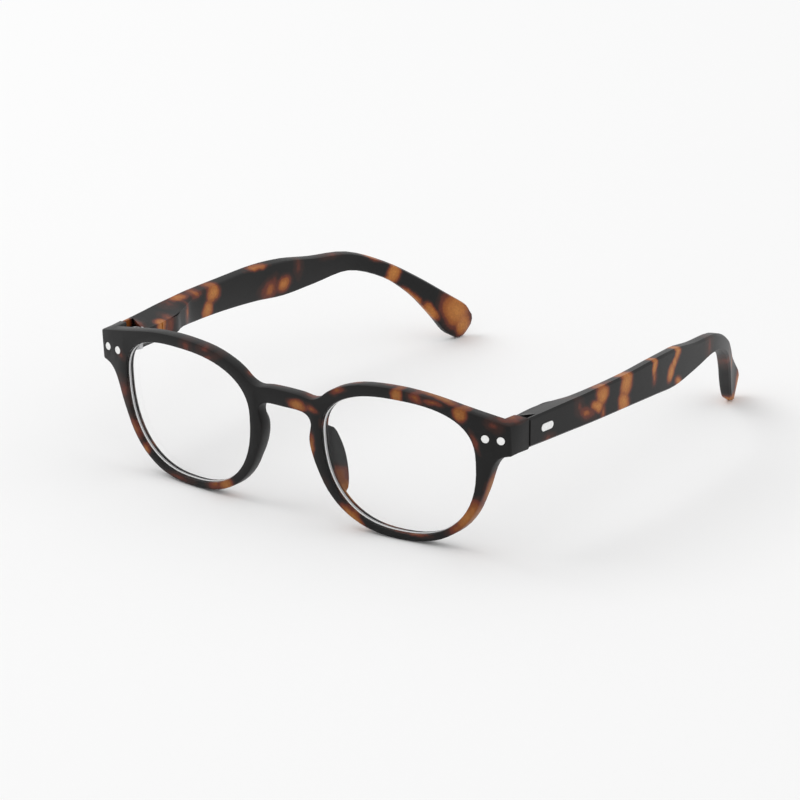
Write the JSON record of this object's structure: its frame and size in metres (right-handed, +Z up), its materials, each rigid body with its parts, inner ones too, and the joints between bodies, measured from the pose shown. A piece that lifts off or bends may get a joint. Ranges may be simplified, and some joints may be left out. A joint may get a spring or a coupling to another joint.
{
  "type": "folding reading glasses",
  "caption": "Folding reading glasses with a one-piece round-lens front, keyhole bridge, moulded nose rests and spring-hinged temples that fold inward and flex outward.",
  "frame": {"origin": "centre of the outer box in X and Y, on the surface that the rim bottoms and the temple tips stand on", "axes": "+X to the wearer's left, -Y out of the front (the way the wearer looks), +Z up"},
  "size_m": [0.145, 0.1598, 0.045],
  "materials": {
    "tortoise_front": "soft matte dark tortoise",
    "tortoise_left": "soft matte dark tortoise",
    "tortoise_right": "soft matte dark tortoise with more amber",
    "clear_lens": "clear polished",
    "bright_metal": "bright satin",
    "hinge_steel": "satin",
    "spring_steel": "bright drawn wire",
    "bush_nylon": "natural nylon"
  },
  "bodies": {
    "front": {"front_frame": "tortoise_front", "lens_left": "clear_lens", "lens_right": "clear_lens", "rivet_inner_left": "bright_metal", "rivet_outer_left": "bright_metal", "hinge_leaf_left": "hinge_steel", "rivet_inner_right": "bright_metal", "rivet_outer_right": "bright_metal", "hinge_leaf_right": "hinge_steel"},
    "screw_left": {"hinge_screw_left": "hinge_steel"},
    "bush_left": {"hinge_bush_left": "bush_nylon"},
    "slider_left": {"hinge_slider_left": "hinge_steel", "hinge_end_ring_left": "hinge_steel"},
    "temple_left": {"temple_left": "tortoise_left", "hinge_housing_left": "hinge_steel", "hinge_spring_left": "spring_steel", "inlay_left": "bright_metal"},
    "screw_right": {"hinge_screw_right": "hinge_steel"},
    "bush_right": {"hinge_bush_right": "bush_nylon"},
    "slider_right": {"hinge_slider_right": "hinge_steel", "hinge_end_ring_right": "hinge_steel"},
    "temple_right": {"temple_right": "tortoise_right", "hinge_housing_right": "hinge_steel", "hinge_spring_right": "spring_steel"}
  },
  "joints": [
    {"name": "turn_screw_left", "type": "hinge", "parent": "front", "child": "screw_left", "pos_m": [0.0649, -0.06153, 0.0346], "axis": [0, 0, -1], "range_deg": [0, 90]},
    {"name": "flex_left", "type": "hinge", "parent": "front", "child": "bush_left", "pos_m": [0.0649, -0.06153, 0.0346], "axis": [0, 0, 1], "range_deg": [-10, 0], "stiffness_Nm_per_rad": 0.1, "springref_deg": 11.46},
    {"name": "fold_left", "type": "hinge", "parent": "bush_left", "child": "slider_left", "pos_m": [0.0649, -0.06153, 0.0346], "axis": [0, 0, 1], "range_deg": [0, 73]},
    {"name": "pull_left", "type": "slide", "parent": "slider_left", "child": "temple_left", "axis": [0, 1, 0], "range_m": [0, 0.00105], "deforming": ["hinge_spring_left"]},
    {"name": "turn_screw_right", "type": "hinge", "parent": "front", "child": "screw_right", "pos_m": [-0.0649, -0.06153, 0.0346], "axis": [0, 0, -1], "range_deg": [0, 90]},
    {"name": "flex_right", "type": "hinge", "parent": "front", "child": "bush_right", "pos_m": [-0.0649, -0.06153, 0.0346], "axis": [0, 0, -1], "range_deg": [-10, 0], "stiffness_Nm_per_rad": 0.1, "springref_deg": 11.46},
    {"name": "fold_right", "type": "hinge", "parent": "bush_right", "child": "slider_right", "pos_m": [-0.0649, -0.06153, 0.0346], "axis": [0, 0, -1], "range_deg": [0, 85.5]},
    {"name": "pull_right", "type": "slide", "parent": "slider_right", "child": "temple_right", "axis": [0, 1, 0], "range_m": [0, 0.00105], "deforming": ["hinge_spring_right"]}
  ],
  "couplings": [
    {"joint": "pull_left", "follows": "flex_left", "m_per_rad": -0.006},
    {"joint": "pull_right", "follows": "flex_right", "m_per_rad": -0.006}
  ]
}
